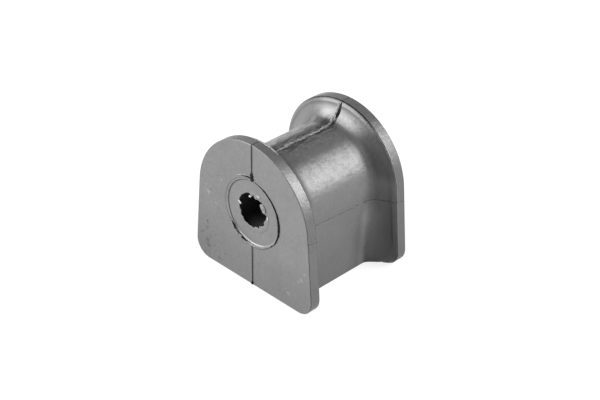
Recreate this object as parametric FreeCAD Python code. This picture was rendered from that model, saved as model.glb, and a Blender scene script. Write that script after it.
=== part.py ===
import FreeCAD, Part
import math
import os

from FreeCAD import Vector

os.makedirs("parts", exist_ok=True)

# The bushing is one block of moulded rubber, in millimetres. It stands on its flat base
# at z = 0, the bar runs along Y, and the origin is on the base below the bar's middle.
bushing_length = 42.0
bore_height = 26.25
bore_radius = 6.5

# Flange at each end: an arch over a wide base, with sides that lean out to the base
flange_base_half_width = 26.0
flange_crown_radius = 23.75
flange_corner_radius = 5.6
flange_edge_bevel = 0.2
rim_thickness = 3.5

# Back of the flange, from the rim inwards: a fine groove where the mould's plates part,
# a steep bevel, a low step, then a cove that starts gently on the body and ends steeply
groove_width = 0.3
groove_depth = 0.45
bevel_width = 0.65
bevel_crest_inset = 0.25
bevel_inset = 1.2
step_height = 0.8
cove_length = 5.15
cove_power = 2.4
cove_corner_power = 4.0
cove_bands = 12

# Body that the strap goes over, with sides that lean in to the base
body_base_half_width = 16.1
body_crown_radius = 17.3
body_corner_radius = 0.5

# Round dish with a slanted wall that the core pin's collar leaves in each end face
dish_rim_radius = 11.6
dish_floor_radius = 10.75
dish_depth = 0.6

# Traces of the mould's joint, in the middle plane
seam_width = 0.4
seam_depth = 0.3
ridge_width = 0.7
ridge_height = 0.3
split_length = 2.95
split_width = 1.3
split_depth = 1.5
split_reach = 0.65

rim_start = bushing_length / 2 - rim_thickness
bevel_end = rim_start - groove_width
step_start = bevel_end - bevel_width
step_inset = bevel_inset + step_height
cove_start = step_start - cove_length


def arch_wire(y, base_half_width, crown_radius, corner_radius):
    """Closed arch outline: flat base, rounded corners, straight sides and a round crown."""
    centre = Vector(0, y, bore_height)
    corner = Vector(base_half_width, y, 0)
    reach = corner - centre
    slope = math.atan2(reach.z, reach.x) + math.acos(crown_radius / reach.Length)
    shoulder = centre + Vector(math.cos(slope), 0, math.sin(slope)) * crown_radius
    along_side = (shoulder - corner).normalize()
    along_base = Vector(-1, 0, 0)
    half_angle = along_side.getAngle(along_base) / 2
    set_back = corner_radius / math.tan(half_angle)
    inward = (along_side + along_base).normalize()
    corner_centre = corner + inward * (corner_radius / math.sin(half_angle))
    foot = corner + along_base * set_back
    knee = corner + along_side * set_back
    bend = corner_centre - inward * corner_radius
    crown = centre + Vector(0, 0, crown_radius)

    def mirrored(point):
        return Vector(-point.x, point.y, point.z)

    edges = [
        Part.makeLine(mirrored(foot), foot),
        Part.Arc(foot, bend, knee).toShape(),
        Part.makeLine(knee, shoulder),
        Part.Arc(shoulder, crown, mirrored(shoulder)).toShape(),
        Part.makeLine(mirrored(shoulder), mirrored(knee)),
        Part.Arc(mirrored(knee), mirrored(bend), mirrored(foot)).toShape(),
    ]
    return Part.Wire(edges)


def flange_wire(y, inset=0.0):
    """Flange outline, drawn in by an inset all round except along the base."""
    return arch_wire(
        y,
        flange_base_half_width - inset,
        flange_crown_radius - inset,
        flange_corner_radius,
    )


def cove_y(fraction):
    return cove_start + cove_length * fraction


def cove_crown_radius(fraction):
    rise = flange_crown_radius - step_inset - body_crown_radius
    return body_crown_radius + rise * fraction ** cove_power


def cove_wire(fraction):
    """Outline at a fraction of the way from the body up to the step below the bevel."""
    spread = flange_base_half_width - step_inset - body_base_half_width
    rounding = flange_corner_radius - body_corner_radius
    return arch_wire(
        cove_y(fraction),
        body_base_half_width + spread * fraction ** cove_power,
        cove_crown_radius(fraction),
        body_corner_radius + rounding * fraction ** cove_corner_power,
    )


def make_flange_end():
    """One end of the bushing: cove, bevel, groove and rim, growing along +Y."""
    cove = Part.makeLoft([cove_wire(i / cove_bands) for i in range(cove_bands + 1)], True, True)
    bevel_wires = [
        flange_wire(step_start, bevel_inset),
        flange_wire(bevel_end, bevel_crest_inset),
        flange_wire(rim_start, groove_depth),
    ]
    bevel = Part.makeLoft(bevel_wires, True, True)
    rim = Part.Face(flange_wire(rim_start)).extrude(Vector(0, rim_thickness, 0))
    outer_edges = [edge for edge in rim.Edges if edge.BoundBox.YMin > rim_start + rim_thickness / 2]
    rim = rim.makeChamfer(flange_edge_bevel, outer_edges)
    return cove.fuse([bevel, rim])


def make_body():
    """Plain arch between the coves."""
    start = arch_wire(-cove_start, body_base_half_width, body_crown_radius, body_corner_radius)
    return Part.Face(start).extrude(Vector(0, 2 * cove_start, 0))


def make_ridge():
    """Half of the raised flash along the top: from the middle up the cove at +Y."""
    side = -ridge_width / 2
    foot = bore_height + body_crown_radius * 3 / 4
    slope = [
        Vector(side, cove_y(i / cove_bands), bore_height + cove_crown_radius(i / cove_bands) + ridge_height)
        for i in range(cove_bands + 1)
    ]
    below = [Vector(side, step_start, foot), Vector(side, 0, foot), Vector(side, 0, slope[0].z)]
    profile = Part.makePolygon(slope + below + slope[:1])
    return Part.Face(profile).extrude(Vector(ridge_width, 0, 0))


def make_dish():
    """Cutter for the round dish in the end face at +Y, a cone that opens outwards."""
    floor = Vector(0, bushing_length / 2 - dish_depth, bore_height)
    mouth_radius = 2 * dish_rim_radius - dish_floor_radius
    return Part.makeCone(dish_floor_radius, mouth_radius, 2 * dish_depth, floor, Vector(0, 1, 0))


def make_seam():
    """Cutter for the shallow groove down the end face at +Y, above and below the dish."""
    start = Vector(-seam_width / 2, bushing_length / 2 - seam_depth, -seam_depth)
    height = bore_height + flange_crown_radius + 2 * seam_depth
    return Part.makeBox(seam_width, 2 * seam_depth, height, start)


def make_split():
    """Cutter for the open split over the cove and bevel at +Y: a lens in plan."""
    far_y = step_start + split_reach
    near_y = far_y - split_length
    floor = bore_height + body_crown_radius - split_depth / 2
    tips = [Vector(0, near_y, floor), Vector(0, far_y, floor)]
    sides = [Vector(side * split_width / 2, (near_y + far_y) / 2, floor) for side in (-1, 1)]
    lens = Part.Wire([
        Part.Arc(tips[0], sides[0], tips[1]).toShape(),
        Part.Arc(tips[1], sides[1], tips[0]).toShape(),
    ])
    return Part.Face(lens).extrude(Vector(0, 0, flange_crown_radius))


def make_bushing():
    halves = [make_flange_end(), make_ridge()]
    halves += [half.mirror(Vector(0, 0, 0), Vector(0, 1, 0)) for half in halves]
    block = make_body().fuse(halves)
    bore_start = Vector(0, -bushing_length, bore_height)
    bore = Part.makeCylinder(bore_radius, 2 * bushing_length, bore_start, Vector(0, 1, 0))
    cutters = [bore, make_split()]
    for cutter in (make_dish(), make_seam()):
        cutters += [cutter, cutter.mirror(Vector(0, 0, 0), Vector(0, 1, 0))]
    return block.cut(cutters).removeSplitter()


bushing = make_bushing()
print("solids", len(bushing.Solids), "valid", bushing.isValid(), "volume", round(bushing.Volume))
bushing.exportStep("parts/bushing.step")
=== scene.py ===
import math

import bmesh
import bpy
from mathutils import Matrix, Vector, noise


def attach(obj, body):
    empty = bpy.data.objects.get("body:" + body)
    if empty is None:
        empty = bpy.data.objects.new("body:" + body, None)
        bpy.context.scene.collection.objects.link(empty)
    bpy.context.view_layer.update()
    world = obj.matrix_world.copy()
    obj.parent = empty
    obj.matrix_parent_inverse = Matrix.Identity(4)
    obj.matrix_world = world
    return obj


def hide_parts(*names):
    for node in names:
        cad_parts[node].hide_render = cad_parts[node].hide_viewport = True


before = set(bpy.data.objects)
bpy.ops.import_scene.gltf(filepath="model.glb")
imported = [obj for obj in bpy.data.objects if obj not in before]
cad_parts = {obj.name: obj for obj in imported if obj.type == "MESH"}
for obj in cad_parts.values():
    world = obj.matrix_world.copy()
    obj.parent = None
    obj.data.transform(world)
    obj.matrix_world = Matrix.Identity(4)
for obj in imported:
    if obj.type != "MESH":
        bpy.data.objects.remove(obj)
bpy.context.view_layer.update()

# The camera stands in front of the bushing's near end, off to the right and above it,
# and takes in the whole block with wide white margins.
camera_azimuth = math.radians(44.85)
camera_elevation = math.radians(32.8)
camera_roll = math.radians(0.67)
camera_distance = 0.463
camera_target = Vector((-0.00057, 0, 0.021375))
back = Vector((
    math.sin(camera_azimuth) * math.cos(camera_elevation),
    -math.cos(camera_azimuth) * math.cos(camera_elevation),
    math.sin(camera_elevation),
))
bpy.ops.object.camera_add(location=camera_target + back * camera_distance)
camera = bpy.context.object
facing = back.to_track_quat("Z", "Y").to_matrix() @ Matrix.Rotation(camera_roll, 3, "Z")
camera.rotation_euler = facing.to_euler()
camera.data.lens = 89.62
camera.data.sensor_width = 36
camera.data.clip_start = 0.01
bpy.context.scene.camera = camera
bpy.context.scene.view_settings.view_transform = "Standard"


# The studio: a matt floor that glows until it runs off to white, and two upright softboxes
# to the left and right of the camera's line. There is nothing else to mirror.

class Socket:
    """An output of a node, on which sums can be written."""

    def __init__(self, tree, link):
        self.tree = tree
        self.link = link

    def node(self, kind, settings, inputs, output=0):
        made = self.tree.nodes.new("ShaderNode" + kind)
        for name, value in settings.items():
            setattr(made, name, value)
        for name, value in inputs.items():
            if isinstance(value, Socket):
                self.tree.links.new(value.link, made.inputs[name])
            else:
                made.inputs[name].default_value = value
        return Socket(self.tree, made.outputs[output])

    def math(self, operation, first, second=0.0):
        return self.node("Math", {"operation": operation}, {0: first, 1: second})

    def __add__(self, other):
        return self.math("ADD", self, other)

    def __radd__(self, other):
        return self.math("ADD", other, self)

    def __sub__(self, other):
        return self.math("SUBTRACT", self, other)

    def __rsub__(self, other):
        return self.math("SUBTRACT", other, self)

    def __mul__(self, other):
        return self.math("MULTIPLY", self, other)

    def __rmul__(self, other):
        return self.math("MULTIPLY", other, self)

    def __abs__(self):
        return self.math("ABSOLUTE", self)

    def slope(self, low, high, start, end):
        """From one value where this is under low, smoothly to another where it is over high."""
        return self.node("MapRange", {"interpolation_type": "SMOOTHSTEP"}, {
            "Value": self, "From Min": low, "From Max": high, "To Min": start, "To Max": end})

    def below(self, low, high):
        """1 where this value is under low, falling to 0 at high."""
        return self.slope(low, high, 1, 0)

    def above(self, low, high):
        """0 where this value is under low, rising to 1 at high."""
        return self.slope(low, high, 0, 1)

    def rays(self):
        """Masks of what is seen directly, through glass, and in a mirror."""
        names = ("Is Camera Ray", "Is Transmission Ray", "Is Glossy Ray")
        return [self.node("LightPath", {}, {}, name) for name in names]

    def end(self, kind):
        """Leads this socket to the tree's output."""
        output = self.tree.nodes.new("ShaderNodeOutput" + kind)
        self.tree.links.new(self.link, output.inputs["Surface"])


def start_tree(owner):
    """Empties the node tree of a world or material, and gives a socket to build on."""
    owner.use_nodes = True
    owner.node_tree.nodes.clear()
    return Socket(owner.node_tree, None)


mirrored_white = 0.15
world = bpy.data.worlds.new("studio")
bpy.context.scene.world = world
studio = start_tree(world)
seen, through, mirrored = studio.rays()
white = seen + through + mirrored * mirrored_white
studio.node("Background", {}, {"Color": (1, 1, 1, 1), "Strength": white}).end("World")

floor_size = 6
floor_shade = 0.2
floor_glow = 0.85
bpy.ops.object.select_all(action="DESELECT")
bpy.ops.mesh.primitive_plane_add(size=floor_size, location=(0, 0, 0))
floor = bpy.context.object
floor.name = "floor"
floor_paint = bpy.data.materials.new("floor_paint")
paint = start_tree(floor_paint)
seen, through, mirrored = paint.rays()
white = seen + through + mirrored
matt = paint.node("BsdfDiffuse", {}, {"Color": (floor_shade, floor_shade, floor_shade, 1)})
glow = paint.node("Emission", {}, {"Color": (1, 1, 1, 1), "Strength": white * floor_glow})
paint.node("AddShader", {}, {0: matt, 1: glow}).end("Material")
floor.data.materials.append(floor_paint)

# Each softbox has its azimuth and elevation in degrees, its width and height in metres, and
# its radiance.
softboxes = [
    ("softbox_left", 230.0, 26.0, 0.80, 0.80, 8.3),
    ("softbox_right", 42.6, 34.4, 0.40, 0.606, 15.2),
]
softbox_distance = 0.9
lit_point = Vector((0, 0, 0.02))
for name, azimuth, elevation, width, height, radiance in softboxes:
    direction = Vector((
        math.cos(math.radians(azimuth)) * math.cos(math.radians(elevation)),
        math.sin(math.radians(azimuth)) * math.cos(math.radians(elevation)),
        math.sin(math.radians(elevation)),
    ))
    bpy.ops.object.light_add(type="AREA", location=lit_point + direction * softbox_distance)
    lamp = bpy.context.object
    lamp.name = name
    lamp.rotation_euler = direction.to_track_quat("Z", "Y").to_euler()
    lamp.data.shape = "RECTANGLE"
    lamp.data.size = width
    lamp.data.size_y = height
    lamp.data.energy = math.pi * width * height * radiance
    lamp.visible_camera = False

# The block: the whole bushing, moulded in one shot of black rubber and clamped down by a
# strap over its body. A grey bloom dulls it, and the mould and handling leave their traces:
# mottling, scuffs, specks and a hairline round the side. Light and shade are also painted into
# its grey: painted shade low down, on tops, in creases and hollows, and painted light and
# highlights in other places.
mm = 0.001
near_face = -21.0
bore_height = 26.25
bore_radius = 6.5
dish_rim_radius = 11.6
dish_floor = -20.4
groove_start = 17.2

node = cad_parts["bushing"]
bpy.ops.object.select_all(action="DESELECT")
block = node.copy()
block.data = node.data.copy()
block.name = "moulded_block"
bpy.context.collection.objects.link(block)
bpy.context.view_layer.objects.active = block
block.select_set(True)
bpy.ops.object.mode_set(mode="EDIT")
bpy.ops.mesh.select_all(action="SELECT")
bpy.ops.mesh.remove_doubles(threshold=0.001 * mm)
bpy.ops.object.mode_set(mode="OBJECT")
if block.data.has_custom_normals:
    bpy.ops.mesh.customdata_custom_splitnormals_clear()
bpy.ops.object.shade_smooth_by_angle(angle=math.radians(28))
even = block.modifiers.new("even", "WEIGHTED_NORMAL")
even.keep_sharp = True
bpy.ops.object.modifier_apply(modifier="even")


class Place(Socket):
    """A position on the piece, in millimetres."""

    def axes(self):
        return [self.node("SeparateXYZ", {}, {0: self}, name) for name in "XYZ"]

    def noise(self, scale, detail, harshness, stretch=(1, 1, 1)):
        """Noise from 0 to 1 with this many waves to the millimetre, before the stretch."""
        drawn = self.node("VectorMath", {"operation": "MULTIPLY"}, {0: self, 1: stretch})
        return self.node("TexNoise", {}, {
            "Vector": drawn, "Scale": scale, "Detail": detail, "Roughness": harshness})

    def away(self, across, up):
        """How far the place is from a line along Y, in millimetres."""
        flat = self.node("VectorMath", {"operation": "MULTIPLY"}, {0: self, 1: (1, 0, 1)})
        line = (across, 0, up)
        return self.node("VectorMath", {"operation": "DISTANCE"}, {0: flat, 1: line}, "Value")


def start_rubber(material):
    """Starts a material's tree with the place on the piece."""
    tree = start_tree(material)
    metres = tree.node("TexCoord", {}, {}, "Object")
    scaled = tree.node("VectorMath", {"operation": "SCALE"}, {0: metres, "Scale": 1 / mm})
    return Place(tree.tree, scaled.link)


def finish_rubber(shade, roughness, relief, depth, gloss=0.5):
    """Ends the tree with a grey of this shade and a relief of this depth in metres."""
    grey = shade.node("CombineColor", {}, {"Red": shade, "Green": shade, "Blue": shade})
    bump = shade.node("Bump", {}, {"Height": relief, "Distance": depth, "Strength": 1.0})
    shade.node("BsdfPrincipled", {}, {
        "Base Color": grey, "Roughness": roughness, "Normal": bump,
        "Specular IOR Level": gloss}).end("Material")


rubber = bpy.data.materials.new("black_rubber")
place = start_rubber(rubber)
x, y, z = place.axes()
from_bore = place.away(0, bore_height)
cloud = place.noise(0.14, 3, 0.55)
mottle = place.noise(0.75, 4, 0.6)
grain = place.noise(3.2, 3, 0.6)
streaks = place.noise(0.9, 3, 0.55, (1.0, 0.28, 1.0))
bloom = 0.150
shade = bloom * (0.86 + cloud * 0.28) * (0.84 + mottle * 0.32) * (0.92 + grain * 0.16)

# The near face: painted light makes it lighter high up, most of all on the right, and it is
# darker low on the left.
face = y.below(near_face + 0.02, near_face + 0.1)
low = z.below(0, 24)
shade = shade * (1 + face * (1 - low) * (0.20 + x.above(-10, 10) * 0.12))
shade = shade * (1 - face * low * x.below(-24, -8) * 0.14)

# The dish: paler than the face. The left of its wall is painted light to be as pale as the
# face, with a line of painted shade along its foot and brink, and a painted highlight at the
# bottom of the wall.
dish_mouth = from_bore.below(dish_rim_radius + 0.1, dish_rim_radius + 0.4)
dish = y.below(dish_floor + 0.1, dish_floor + 0.2) * dish_mouth * (1 - face)
left_wall_light = dish * from_bore.above(10.9, 11.05) * x.below(0, 6) * z.above(18, 24)
foot = dish * abs(from_bore - 10.82).below(0.12, 0.24) * x.below(-4, 2) * z.above(17, 21)
brink = abs(from_bore - 11.62).below(0.06, 0.16) * x.below(-4, 2) * y.below(-20.8, -20.7)
glint = dish * from_bore.above(10.8, 10.9) * abs(x + 1.5).below(3, 7) * z.below(17, 19)
shade = shade * (1 + dish * 0.28) * (1 + left_wall_light * 1.6) * (1 + glint * 1.0)
shade = shade * (1 - foot * 0.6) * (1 - brink * 0.25)

# The rims: darker, with painted shade that darkens them more low down and over the crown.
# The near rim is painted lighter on the right, most of all on its shoulder: a painted highlight.
rims = abs(y).above(groove_start + 0.05, groove_start + 0.1) * (1 - face) * (1 - dish)
near_rim = rims * y.below(0, 1)
near_rim_right = near_rim * x.above(8, 12)
shade = shade * (1 - rims * (0.10 + low * 0.10))
shade = shade * (1 - rims * z.above(44.5, 48) * x.above(-3, 3) * 0.32)
shade = shade * (1 + near_rim_right * (0.12 + z.above(33, 36) * 0.3))

# The body and the coves: painted light high up that fades into painted shade towards the
# base. The top of the body is painted darker as painted shade, with paler streaks on its left
# and dark patches and crumbs of rubber along the ridge.
waist = (1 - face) * (1 - dish) * (1 - rims)
body = abs(y).below(12.5, 15.5)
top = z.above(39.5, 42.5) * x.above(-5.2, -3.4) * body
pale_streaks = abs(x + 7).below(2.5, 4) * z.above(39, 41) * body * streaks.above(0.42, 0.58)
beside_ridge = abs(x + 0.3).below(1.6, 4.0) * z.above(41, 43) * abs(y - 1.0).below(12, 16)
patches = streaks.above(0.42, 0.56) * beside_ridge
crumbs = (place.noise(1.5, 3, 0.7) - 0.5) * z.above(41.5, 43) * abs(x).below(4, 7) * body
shade = shade * (1 + waist * (0.16 - low * 0.34)) * (1 - top * 0.46) * (1 + pale_streaks * 0.7)
shade = shade * (1 - patches * 0.6) * (1 + crumbs * 1.6)

# A painted highlight lies in patches and specks on the shoulder of the body.
shoulder = z.above(33.5, 36) * z.below(41, 42) * x.above(2, 5) * abs(y).below(9, 12)
patchy_highlight = place.noise(0.42, 4, 0.65).above(0.42, 0.52) + place.noise(1.7, 2, 0.6).above(0.58, 0.66)
shade = shade * (1 + shoulder * patchy_highlight * 0.42)

# The far cove: painted light low and part way up on its right, a painted highlight over its
# crown, painted shade at the ridge's root and at its shoulder, and darker on its left. The near
# cove has painted shade where the near flange shades it.
root = abs(x + 3.2).below(3.2, 6.2) * abs(y - 12.9).below(0.9, 2.4) * z.above(41, 43)
low_cove = abs(y - 12.4).below(0.8, 4.3) * z.below(17, 26) * x.above(8, 12)
side_cove = abs(y - 14.5).below(0.8, 2.2) * z.below(30, 36) * x.above(8, 12)
shoulder_cove = y.above(13.5, 15) * y.below(17.2, 17.3) * abs(z - 38).below(5, 9) * x.above(8, 12)
crown_cove = abs(y - 14.8).below(0.7, 1.4) * z.above(42, 44) * x.above(-8.5, -5) * x.below(5, 11)
left_cove = y.above(11.5, 12.5) * y.below(17.1, 17.2) * x.below(-9.5, -6)
near_cove = waist * y.below(-12.5, -10.5) * x.above(3, 8) * z.above(30, 34)
shade = shade * (1 + low_cove * 1.35) * (1 + side_cove * 0.30) * (1 + crown_cove * 0.8)
shade = shade * (1 - root * 0.5) * (1 - shoulder_cove * 0.45) * (1 - left_cove * 0.25)
shade = shade * (1 - near_cove * 0.55)

# The far groove: painted shade over the crown, and painted light down the right side that
# lifts the groove's own shade there.
crown_groove = abs(y - 17.28).below(0.24, 0.3) * z.above(43, 47)
side_groove = abs(y - 17.35).below(0.16, 0.2) * x.above(10, 13)
shade = shade * (1 - crown_groove * 0.75) * (1 + side_groove * 2.2)

# The mould's joint: a hairline that wanders round the right side, broken in places, a dark
# line over the rims, and a dark edge on the right of the near seam.
wander = place.noise(0.35, 2, 0.5)
level = abs(z - 24.9 + y * 0.057 + (wander - 0.5) * 1.6).below(0.05, 0.2)
hairline = level * x.above(9, 12) * (1 - face) * y.below(20.8, 20.9)
hairline = hairline * place.noise(0.5, 1, 0.5).above(0.36, 0.46)
joint = abs(x - 0.05 + (wander - 0.5) * 0.5).below(0.1, 0.28) * z.above(49.2, 49.5)
seam_edge = face * abs(x - 0.30).below(0.25, 0.6) * from_bore.above(11.6, 12)
shade = shade * (1 - hairline * 0.6) * (1 - joint * 0.7) * (1 - seam_edge * 0.5)

# Blotches on the left of the face and low on it, and single specks with ragged edges: how
# far each lies across and up, its size in millimetres, and how much paler it is.
left = abs(x + 18).below(3.0, 8.0) * abs(z - 27).below(8, 16) * face
low_left = abs(x + 18.5).below(3.0, 7.0) * abs(z - 7).below(4, 8) * face
blotch = place.noise(0.62, 4, 0.7).above(0.54, 0.64)
shade = shade * (1 - blotch * low_left * 0.40) * (1 - blotch * left * 0.12)
specks = [
    (22.6, 15.0, 0.50, 0.45), (21.3, 12.6, 0.90, 0.40), (20.1, 11.4, 0.60, 0.50),
    (18.2, 8.0, 0.45, 0.30), (15.6, 5.0, 0.90, 0.40), (14.6, 6.2, 0.50, 0.30),
    (-20.3, 13.9, 0.55, -0.65), (-20.3, 6.8, 1.20, -0.50), (-20.0, 4.9, 0.90, -0.55),
    (-22.6, 9.0, 0.60, -0.40), (-13.4, 32.0, 0.60, 0.45), (-14.6, 33.1, 0.50, -0.40),
    (-19.4, 25.2, 0.80, 0.50), (-18.4, 26.5, 0.60, -0.40), (-16.2, 22.4, 0.60, 0.40),
    (-20.4, 27.4, 0.50, 0.40), (-12.4, 5.4, 0.50, -0.40), (3.2, 9.5, 0.35, -0.45),
]
ragged = (place.noise(1.4, 3, 0.7) - 0.5) * 2.4
for across, up, size, paler in specks:
    off = place.away(across, up) + ragged * size
    shade = shade * (1 + off.below(size * 0.3, size) * face * paler)

# The bore is painted darker, as painted shade inside it.
bore_wall = from_bore.below(bore_radius + 0.02, bore_radius + 0.1)
bore = bore_wall * abs(y).below(20.05, 20.15)
shade = shade * (1 - bore * 0.68)

# The finish: satin, with the far cove's crown polished, the near rim crisp, the far rim and
# the near cove dull, and the upper right of the body scuffed.
polish = y.above(12.5, 14.5) * z.above(40, 44)
far_rim_right = rims * x.above(8, 12) * y.above(0, 1)
roughness = 0.385 + (mottle - 0.5) * 0.30 + (cloud - 0.5) * 0.08 + bore * 0.3
roughness = roughness - polish * 0.07 - near_rim_right * 0.07 + far_rim_right * 0.04
roughness = roughness + near_cove * 0.2
scuffed = z.above(33, 37) * x.above(-2, 2) * (1 - face) * (1 - dish)
relief = (mottle * 0.7 + grain * 0.3) * (1 + scuffed * 0.5) + streaks * 0.6 - hairline * 1.2
finish_rubber(shade, roughness, relief, 0.10 * mm)
block.data.materials.clear()
block.data.materials.append(rubber)
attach(block, "root")
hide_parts("bushing")


# Flash along the top: a thin skin of the block's own rubber, squeezed into the mould's joint
# and torn off ragged. It stands on the ridge over the body and runs up to the split.

def finish_flash(flash, paint):
    """Closes and smooths a piece of flash that is open in edit mode, and hands it over."""
    bpy.ops.mesh.select_all(action="SELECT")
    bpy.ops.mesh.normals_make_consistent(inside=False)
    bpy.ops.object.mode_set(mode="OBJECT")
    bpy.ops.object.shade_smooth_by_angle(angle=math.radians(50))
    flash.data.materials.append(paint)
    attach(flash, "root")
    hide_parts("bushing")


def draw_bead(name, stations, paint, facing=(math.pi / 2, 0, 0)):
    """A bead drawn out of a small disc, one station after another. Each station has its
    middle and the bead's half sizes there along X, Y and Z, in millimetres."""
    bpy.ops.object.select_all(action="DESELECT")
    middle, half = [Vector(part) * mm for part in stations[0]]
    bpy.ops.mesh.primitive_circle_add(
        vertices=8, radius=1 * mm, fill_type="NGON", location=middle, rotation=facing)
    bead = bpy.context.object
    bead.name = name
    bpy.ops.object.transform_apply(location=True, rotation=True, scale=True)
    bpy.ops.object.mode_set(mode="EDIT")
    bpy.ops.mesh.select_all(action="SELECT")
    bpy.ops.transform.resize(value=half / mm, center_override=middle)
    for station in stations[1:]:
        next_middle, next_half = [Vector(part) * mm for part in station]
        step = next_middle - middle
        bpy.ops.mesh.extrude_region_move(TRANSFORM_OT_translate={"value": step})
        change = [new / old for new, old in zip(next_half, half)]
        bpy.ops.transform.resize(value=change, center_override=next_middle)
        middle, half = next_middle, next_half
    finish_flash(bead, paint)


def shares(count):
    """Even steps from 0 to 1."""
    return [step / count for step in range(count + 1)]


def rough(distance, seed, scale=1.0):
    """Smooth noise from -1 to 1 along a line."""
    return noise.noise(Vector((distance * scale, seed * 7.3, 0.5)))


thin_end = 0.04


def taper(u, steepness):
    """Full along the middle, and falls steeply to a thin end at 0 and at 1."""
    return min(1.0, steepness * u, steepness * (1 - u)) ** 0.5 + thin_end


def flash_paint(name, middle, harshness, gloss=0.5):
    """Torn rubber: grey flecks about a middle shade."""
    made = bpy.data.materials.new(name)
    place = start_rubber(made)
    fleck = place.noise(1.1, 3, 0.65).above(0.32, 0.68)
    crumb = place.noise(3.0, 2, 0.6)
    shade = middle * (0.45 + fleck * 0.8 + crumb * 0.6)
    finish_rubber(shade, harshness + (crumb - 0.5) * 0.2, crumb + fleck, 0.12 * mm, gloss)
    return made


torn_skin = flash_paint("torn_skin", 0.16, 0.45)

body_top = 43.55
cove_start = 11.4
cove_length = 5.15
cove_rise = 4.45
cove_power = 2.4
step_height = 0.8
bevel_slope = 1.46


def top_height(along):
    """Height of the block's top line, over the body, up the far cove and over its bevel."""
    past_cove = along - cove_start - cove_length
    if past_cove > 0:
        return body_top + cove_rise + step_height + past_cove * bevel_slope
    climb = max(0.0, (along - cove_start) / cove_length)
    return body_top + cove_rise * climb ** cove_power


flash_start = -11.8
flash_length = 25.6
flash_lift = 0.24
stations = []
for u in shares(90):
    along = flash_start + flash_length * u
    climb = max(0.0, (along - cove_start) / cove_length)
    fade = taper(u, 8)
    width = (0.50 + 0.40 * rough(along, 1, 0.9) + 0.28 * rough(along, 2, 2.3)) * fade
    height = (0.15 + 0.14 * rough(along, 3, 1.4)) * fade
    across = 0.12 * math.sin(along * 0.35) + 0.40 * rough(along, 4, 0.7) - 0.45 * climb ** 0.5
    stations.append(((across, along, top_height(along) + flash_lift), (width, 1, height)))
draw_bead("top_flash", stations, torn_skin)

# Lip of the split: the rubber on the left of the split in the far cove, stretched pale and
# left standing where it tore as the block was pulled from the mould.
pale_flash = flash_paint("pale_flash", 0.24, 0.5)
lip_start = 13.2
lip_length = 3.9
stations = []
for u in shares(30):
    along = lip_start + lip_length * u
    fade = taper(u, 6)
    width = (0.42 + 0.14 * rough(along, 5, 1.2)) * fade
    height = (0.28 + 0.10 * rough(along, 6, 1.7)) * fade
    across = -1.15 + 0.15 * u + 0.1 * rough(along, 7, 1.0)
    stations.append(((across, along, top_height(along)), (width, 1, height)))
draw_bead("split_lip", stations, pale_flash)

# Fin on the right of the dish: rubber that crept between the core pin's collar and the
# mould and was torn off. It is one with the face, dark and ragged, and widest half way up.
# The dark flash paint is near black: the flash's own dark rubber, and painted shade for the
# shadow round and under these bits.
dark_flash_and_shade = flash_paint("dark_flash_and_shade", 0.010, 0.8, 0.2)


def bulge(u, power=0.5):
    """Full in the middle, and falls roundly to a thin end at 0 and at 1."""
    return thin_end + max(0.0, math.sin(math.pi * u)) ** power


def draw_ring(name, start, end, steps, profile, paint, plane=near_face, flat=1.0):
    """A bead spun step by step round the bore's axis, from one angle in degrees to another.
    The profile gives, for each angle and share of the way, the bead's radius about the bore,
    its half width, and how far it stands out, in millimetres."""
    bpy.ops.object.select_all(action="DESELECT")
    axis = Vector((0, plane, bore_height)) * mm

    def spot(degrees, radius, proud):
        angle = math.radians(degrees)
        return axis + Vector((radius * math.cos(angle), -proud, radius * math.sin(angle))) * mm

    radius, size, proud = profile(start, 0)
    bpy.ops.mesh.primitive_circle_add(
        vertices=8, radius=size * mm, fill_type="NGON", location=spot(start, radius, proud),
        rotation=(0, -math.radians(start), 0), scale=(1, flat, 1))
    ring = bpy.context.object
    ring.name = name
    bpy.ops.object.transform_apply(location=True, rotation=True, scale=True)
    bpy.ops.object.mode_set(mode="EDIT")
    bpy.ops.mesh.select_all(action="SELECT")
    turn = (end - start) / steps
    for u in shares(steps)[1:]:
        degrees = start + (end - start) * u
        bpy.ops.mesh.spin(steps=1, angle=math.radians(turn), center=axis, axis=(0, 1, 0))
        turned = spot(degrees, radius, proud)
        next_radius, next_size, next_proud = profile(degrees, u)
        middle = spot(degrees, next_radius, next_proud)
        bpy.ops.transform.translate(value=middle - turned)
        bpy.ops.transform.resize(value=[next_size / size] * 3, center_override=middle)
        radius, size, proud = next_radius, next_size, next_proud
    finish_flash(ring, paint)


def fin(degrees, u):
    wide = math.exp(-(degrees / 42) ** 2)
    crest = math.exp(-((degrees - 66) / 12) ** 2)
    width = (0.16 + 0.25 * wide + 0.12 * crest + 0.08 * rough(degrees, 9, 0.15)) * bulge(u)
    return 11.60 + 0.12 * wide + 0.10 * rough(degrees, 8, 0.1), width, 0.0


draw_ring("ring_fin", -48, 90, 110, fin, dark_flash_and_shade, flat=0.6)


# Flap at the lower left of the dish: a torn skin of rubber from the same gap, joined to the
# dish's wall. It lies over the dish's edge and on the face, and has a thick dark edge, painted
# near black as painted shade for the shadow under it.

def flap(degrees, u):
    inner = 11.02 + 0.10 * rough(degrees, 11, 0.2)
    torn = math.exp(-((degrees - 235) / 16) ** 2)
    tatters = 0.75 + 0.40 * rough(degrees, 12, 0.3) + 0.20 * rough(degrees, 13, 0.8)
    outer = 11.75 + torn * tatters
    return (inner + outer) / 2, (outer - inner) / 2 * bulge(u, 0.4), 0.0


draw_ring("ring_flap", 217, 320, 100, flap, torn_skin, flat=0.16)


def flap_edge(degrees, u):
    width = (0.16 + 0.24 * u + 0.08 * rough(degrees, 15, 0.2)) * bulge(u)
    torn = math.exp(-((degrees - 240) / 12) ** 2)
    return 11.15 + 0.40 * torn + 0.14 * rough(degrees, 17, 0.25), width, 0.14


draw_ring("ring_flap_edge", 218, 263, 60, flap_edge, dark_flash_and_shade)

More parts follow.
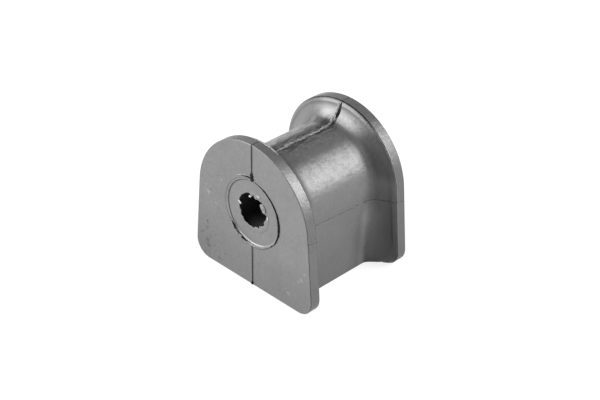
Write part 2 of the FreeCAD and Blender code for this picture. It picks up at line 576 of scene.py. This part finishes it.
# Burr on the near seam just above the dish: a lump of flash where the mould's joint meets
# the collar's gap, with a short arm torn to the left and a pale edge stretched beside it.
burr_foot = 37.4
burr_height = 3.2
stations = []
for u in shares(24):
    width = (0.80 + 0.30 * rough(u * 9, 21)) * bulge(u)
    proud = (0.30 + 0.15 * rough(u * 9, 22)) * bulge(u)
    middle = (0.2 + 0.35 * rough(u * 6, 23), near_face, burr_foot + burr_height * u)
    stations.append((middle, (width, proud, 1)))
draw_bead("seam_burr", stations, dark_flash_and_shade, facing=(0, 0, 0))


def arm(degrees, u):
    thinning = min(1.0, u / 0.1) ** 0.5 * (1 - u) ** 0.6 + thin_end
    return 12.3, (0.26 + 0.10 * rough(u * 12, 24)) * thinning, 0.0


def arm_edge(degrees, u):
    return 12.75 - 0.4 * u, (0.14 + 0.06 * rough(u * 12, 34)) * bulge(u), 0.0


draw_ring("burr_arm", 90, 112, 30, arm, dark_flash_and_shade, flat=0.6)
draw_ring("burr_arm_edge", 94, 124, 36, arm_edge, pale_flash)

# Nub at the foot of the near seam: a bead of rubber that ran out of the mould's joint at
# the base and was broken off short.
nub_height = 1.3
stations = []
for u in shares(12):
    width = 0.42 * bulge(u, 0.6)
    middle = (0.15 * rough(u * 4, 27), near_face - 0.05, 0.02 + nub_height * u)
    stations.append((middle, (width, width, 1)))
draw_bead("seam_nub", stations, dark_flash_and_shade, facing=(0, 0, 0))


# Flash on the near rim: a short thin fin of rubber, squeezed out where the mould's plates
# part. It stands on the inner edge of the rim, over the crown.

def rim_fin(degrees, u):
    return 23.80, (0.26 + 0.12 * rough(u * 22, 29)) * bulge(u, 0.4), 0.0


draw_ring("rim_flash", 70, 97, 60, rim_fin, pale_flash, plane=-17.62, flat=0.5)

# Film in the bore's mouth: a thin skin of the block's rubber, joined to the bore's wall all
# round, that was punched out for the bar and left a torn edge. The edge is given by its
# angle in degrees and its radius in millimetres about the bore.
film_root_radius = 6.95
film_depth = 0.72
film_thickness = 0.26
film_edge_wear = 0.08
torn_edge = [
    (-6.3, 5.1), (14.4, 5.95), (23.6, 4.41), (46.8, 4.42), (51, 5.9), (53.5, 6.53), (56, 6.2),
    (64.9, 5.9), (81.8, 5.2), (86, 5.6), (88.7, 6.5), (92, 5.8), (99, 5.5), (105, 6.55),
    (133, 6.5), (152.4, 6.6), (166.9, 6.6), (172, 5.75), (185.2, 5.97), (198, 5.75),
    (210.5, 6.2), (222, 5.8), (233.3, 6.06), (245, 5.6), (253.8, 5.74), (261, 5.35),
    (268.5, 5.59), (277, 5.0), (285.7, 4.76), (296, 5.15), (307, 4.65), (317.7, 4.86),
    (330, 5.3), (342, 4.8), (353.7, 5.1),
]


def hole_radius(angle):
    """Radius of the torn edge at an angle in radians, with a fine crumble added."""
    first = torn_edge[0][0]
    degrees = (math.degrees(angle) - first) % 360 + first
    for (start, low), (end, high) in zip(torn_edge, torn_edge[1:]):
        if start <= degrees <= end:
            break
    crumble = noise.noise(Vector((math.cos(angle), math.sin(angle), 0.3)) * 9)
    return low + (high - low) * (degrees - start) / (end - start) + 0.22 * crumble


film_axis = Vector((0, near_face + film_depth, bore_height)) * mm
bpy.ops.object.select_all(action="DESELECT")
bpy.ops.mesh.primitive_circle_add(
    vertices=180, radius=film_root_radius * mm, fill_type="NOTHING", location=film_axis,
    rotation=(math.pi / 2, 0, 0))
film = bpy.context.object
film.name = "torn_film"
bpy.ops.object.transform_apply(location=True, rotation=True, scale=True)
bpy.ops.object.mode_set(mode="EDIT")
bpy.ops.mesh.select_all(action="SELECT")
bpy.ops.mesh.extrude_edges_move()
bpy.ops.transform.resize(value=(0.9, 1, 0.9), center_override=film_axis)
bpy.ops.mesh.select_mode(type="VERT")
inner_edge = [vertex for vertex in bmesh.from_edit_mesh(film.data).verts if vertex.select]
for vertex in inner_edge:
    bpy.ops.mesh.select_all(action="DESELECT")
    vertex.select = True
    offset = vertex.co - film_axis
    pull = hole_radius(math.atan2(offset.z, offset.x)) * mm / offset.length
    bpy.ops.transform.resize(value=(pull, 1, pull), center_override=film_axis)
bpy.ops.object.mode_set(mode="OBJECT")
skin = film.modifiers.new("skin", "SOLIDIFY")
skin.thickness = film_thickness * mm
skin.offset = 0
bpy.ops.object.modifier_apply(modifier="skin")
worn = film.modifiers.new("worn", "BEVEL")
worn.width = film_edge_wear * mm
worn.segments = 2
bpy.ops.object.modifier_apply(modifier="worn")
bpy.ops.object.mode_set(mode="EDIT")
finish_flash(film, rubber)

# Tabs on the film's edge: scraps of torn rubber that still hang from it, stretched pale, and
# catch the light. Each has its angle, radius, half length, half width, how far it is turned
# from lying along the edge, its depth below the face, and its material.
torn_edges = flash_paint("torn_edges", 0.5, 0.5)
tabs = [
    (168, 5.9, 0.85, 0.35, 70, 0.52, torn_edges),
    (103, 5.4, 0.60, 0.35, 0, 0.52, torn_edges),
    (72, 7.0, 0.85, 0.30, 10, 0.52, torn_edges),
    (6, 6.4, 0.85, 0.25, 0, 0.52, torn_edges),
    (39, 5.6, 1.50, 0.95, 0, 0.40, pale_flash),
]
tab_half_thickness = 0.1
for number, (degrees, radius, length, width, twist, depth, paint) in enumerate(tabs, 1):
    angle = math.radians(degrees)
    across, up = radius * math.cos(angle), radius * math.sin(angle)
    bpy.ops.object.select_all(action="DESELECT")
    bpy.ops.mesh.primitive_uv_sphere_add(
        segments=14, ring_count=8, radius=1 * mm,
        location=Vector((across, near_face + depth, bore_height + up)) * mm,
        rotation=(0, -math.radians(degrees + 90 + twist), 0),
        scale=(length, tab_half_thickness, width))
    tab = bpy.context.object
    tab.name = f"film_tab_{number}"
    bpy.ops.object.transform_apply(location=True, rotation=True, scale=True)
    bpy.ops.object.mode_set(mode="EDIT")
    bpy.ops.mesh.select_all(action="SELECT")
    bpy.ops.transform.vertex_random(offset=0.05 * mm, seed=number)
    finish_flash(tab, paint)
